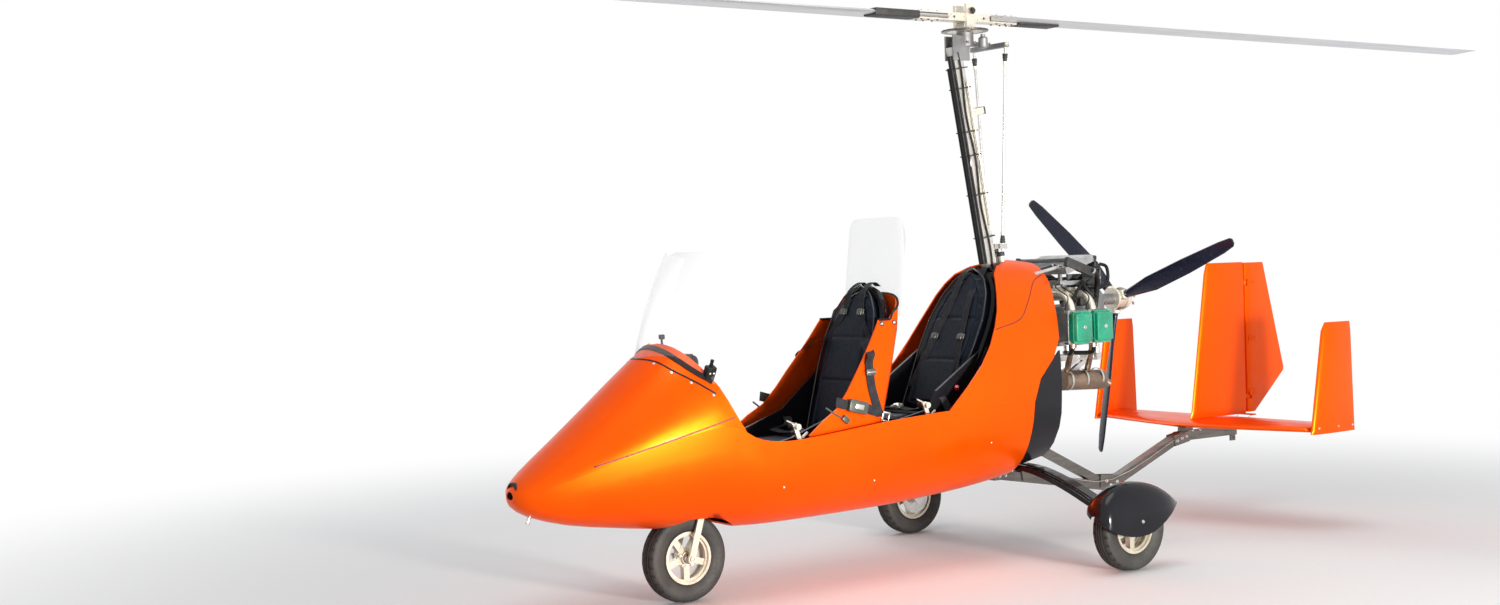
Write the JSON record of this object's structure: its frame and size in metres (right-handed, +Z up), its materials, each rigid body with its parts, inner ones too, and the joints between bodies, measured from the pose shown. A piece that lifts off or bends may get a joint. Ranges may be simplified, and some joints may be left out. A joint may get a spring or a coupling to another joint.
{
  "type": "two-seat gyrocopter",
  "caption": "Open tandem gyrocopter on three wheels, with a teetering rotor on a raked mast, a pusher engine and propeller, and a low tail with fin, rudder and winglets.",
  "frame": {"origin": "on the ground under the rotor shaft, the middle of the whole aircraft's footprint with the rotor parked fore and aft", "axes": "+Z up, -Y forward to the nose, +X to the pilot's left"},
  "size_m": [1.8504, 8.4, 2.827],
  "materials": {
    "orange_shell": "gloss pearl paint on laminate",
    "black_panel": "satin black",
    "clear_screen": "clear acrylic sheet",
    "seat_vinyl": "padded black vinyl",
    "black_grip": "moulded rubber",
    "bright_steel": "plated steel",
    "frame_steel": "brushed stainless tube",
    "tyre_rubber": "black rubber",
    "cast_rim": "cast alloy",
    "engine_casting": "rough casting",
    "green_cover": "green enamel",
    "radiator_core": "finned core",
    "exhaust_steel": "heat-tinted steel",
    "blade_alloy": "anodised extrusion",
    "propeller_black": "gloss composite"
  },
  "bodies": {
    "airframe": {"fuselage_pod": "orange_shell", "nose_cowl": "orange_shell", "rear_cowl": "orange_shell", "side_panels": "black_panel", "cockpit_floor": "black_panel", "firewall": "bright_steel", "instrument_panel": "black_panel", "windshield_front": "clear_screen", "windshield_rear": "clear_screen", "seat_shells": "seat_vinyl", "seat_cushions": "seat_vinyl", "back_cushions": "seat_vinyl", "seat_fairing": "orange_shell", "control_sticks": "black_grip", "throttle_levers": "bright_steel", "rudder_pedals": "bright_steel", "keel_frame": "frame_steel", "mast": "frame_steel", "engine_mount": "bright_steel", "landing_gear_bow": "black_panel", "main_axles": "bright_steel", "mudguards": "black_panel", "stabilizer": "orange_shell", "winglets": "orange_shell", "fin": "orange_shell", "engine_block": "engine_casting", "cylinder_heads": "engine_casting", "rocker_covers": "green_cover", "intake_manifold": "engine_casting", "gearbox": "engine_casting", "radiator": "radiator_core", "coolant_tank": "black_panel", "exhaust": "exhaust_steel", "rotor_head": "cast_rim", "control_rods": "bright_steel"},
    "wheel_left": {"tyre_left": "tyre_rubber", "rim_left": "cast_rim"},
    "wheel_right": {"tyre_right": "tyre_rubber", "rim_right": "cast_rim"},
    "nose_steering": {"nose_fork": "cast_rim"},
    "nose_wheel": {"nose_tyre": "tyre_rubber", "nose_rim": "cast_rim"},
    "rudder": {"rudder": "orange_shell"},
    "rotor": {"rotor_hub": "cast_rim", "rotor_blades": "blade_alloy"},
    "propeller": {"propeller_hub": "cast_rim", "propeller_blades": "propeller_black"}
  },
  "joints": [
    {"name": "rotor_spin", "type": "hinge", "parent": "airframe", "child": "rotor", "pos_m": [0, 0, 2.757], "axis": [0, 0, 1], "continuous": true},
    {"name": "propeller_spin", "type": "hinge", "parent": "airframe", "child": "propeller", "pos_m": [0, 1.05, 1.285], "axis": [0, 1, 0], "continuous": true},
    {"name": "wheel_left_spin", "type": "hinge", "parent": "airframe", "child": "wheel_left", "pos_m": [0.829, 0.226, 0.2055], "axis": [1, 0, 0], "continuous": true},
    {"name": "wheel_right_spin", "type": "hinge", "parent": "airframe", "child": "wheel_right", "pos_m": [-0.829, 0.226, 0.2055], "axis": [1, 0, 0], "continuous": true},
    {"name": "rudder_turn", "type": "hinge", "parent": "airframe", "child": "rudder", "pos_m": [0, 2.1, 1], "axis": [0, 0, 1], "range_deg": [-25, 25]},
    {"name": "nose_steer", "type": "hinge", "parent": "airframe", "child": "nose_steering", "pos_m": [0, -1.794, 0.2055], "axis": [0, 0.2924, 0.9563], "range_deg": [-30, 30]},
    {"name": "nose_wheel_spin", "type": "hinge", "parent": "nose_steering", "child": "nose_wheel", "pos_m": [0, -1.794, 0.2055], "axis": [1, 0, 0], "continuous": true}
  ],
  "couplings": [
    {"joint": "nose_steer", "follows": "rudder_turn", "ratio": -1.2}
  ]
}
